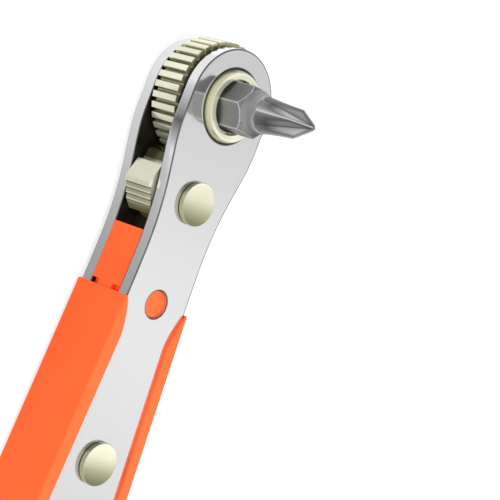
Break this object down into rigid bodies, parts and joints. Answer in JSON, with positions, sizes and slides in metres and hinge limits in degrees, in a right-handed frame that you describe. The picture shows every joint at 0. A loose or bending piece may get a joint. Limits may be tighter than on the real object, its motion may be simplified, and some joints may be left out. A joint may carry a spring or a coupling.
{
  "type": "ratchet screwdriver",
  "caption": "Flat pocket ratchet screwdriver: riveted steel side plates hold a toothed thumbwheel with a hex bit and a reversing pawl, with an overmoulded grip",
  "frame": {"origin": "on the drive axis, in the plane of the wheel's rear cap and the rear rivet heads, which the tool lies on", "axes": "+X from the grip to the head along the handle, +Y towards the side with the thumb pad, +Z along the bit to its tip"},
  "size_m": [0.0954, 0.019, 0.0248],
  "materials": {
    "plate_steel": "polished",
    "pale_nickel": "satin warm nickel",
    "bit_steel": "satin",
    "plain_steel": "plain",
    "orange_plastic": "semi-matt moulded"
  },
  "bodies": {
    "frame": {"front_plate": "plate_steel", "rear_plate": "plate_steel", "grip_handle": "orange_plastic", "pawl_rivet_post": "pale_nickel", "pawl_rivet_tube": "pale_nickel", "pawl_sleeve": "plain_steel", "handle_rivet_post": "pale_nickel", "handle_rivet_tube": "pale_nickel", "handle_sleeve": "plain_steel", "tail_rivet_post": "pale_nickel", "tail_rivet_tube": "pale_nickel", "tail_sleeve": "plain_steel", "detent_spring": "plain_steel"},
    "wheel": {"ratchet_wheel": "pale_nickel", "front_thrust_washer": "plain_steel", "rear_thrust_washer": "plain_steel", "bit_magnet": "plain_steel"},
    "bit": {"screwdriver_bit": "bit_steel"},
    "pawl": {"reversing_pawl": "pale_nickel"},
    "detent": {"detent_ball": "plain_steel"}
  },
  "joints": [
    {"name": "wheel_spin", "type": "hinge", "parent": "frame", "child": "wheel", "pos_m": [0, 0, 0.00547], "axis": [0, 0, 1], "continuous": true},
    {"name": "bit_pull", "type": "slide", "parent": "wheel", "child": "bit", "axis": [0, 0, 1], "range_m": [0, 0.0065]},
    {"name": "pawl_swing", "type": "hinge", "parent": "frame", "child": "pawl", "pos_m": [-0.0139, 0, 0.00547], "axis": [0, 0, 1], "range_deg": [-10, 0]},
    {"name": "detent_press", "type": "slide", "parent": "frame", "child": "detent", "axis": [-1, 0, 0], "range_m": [0, 0.0005], "stiffness_N_per_m": 1000, "deforming": ["detent_spring"]}
  ]
}
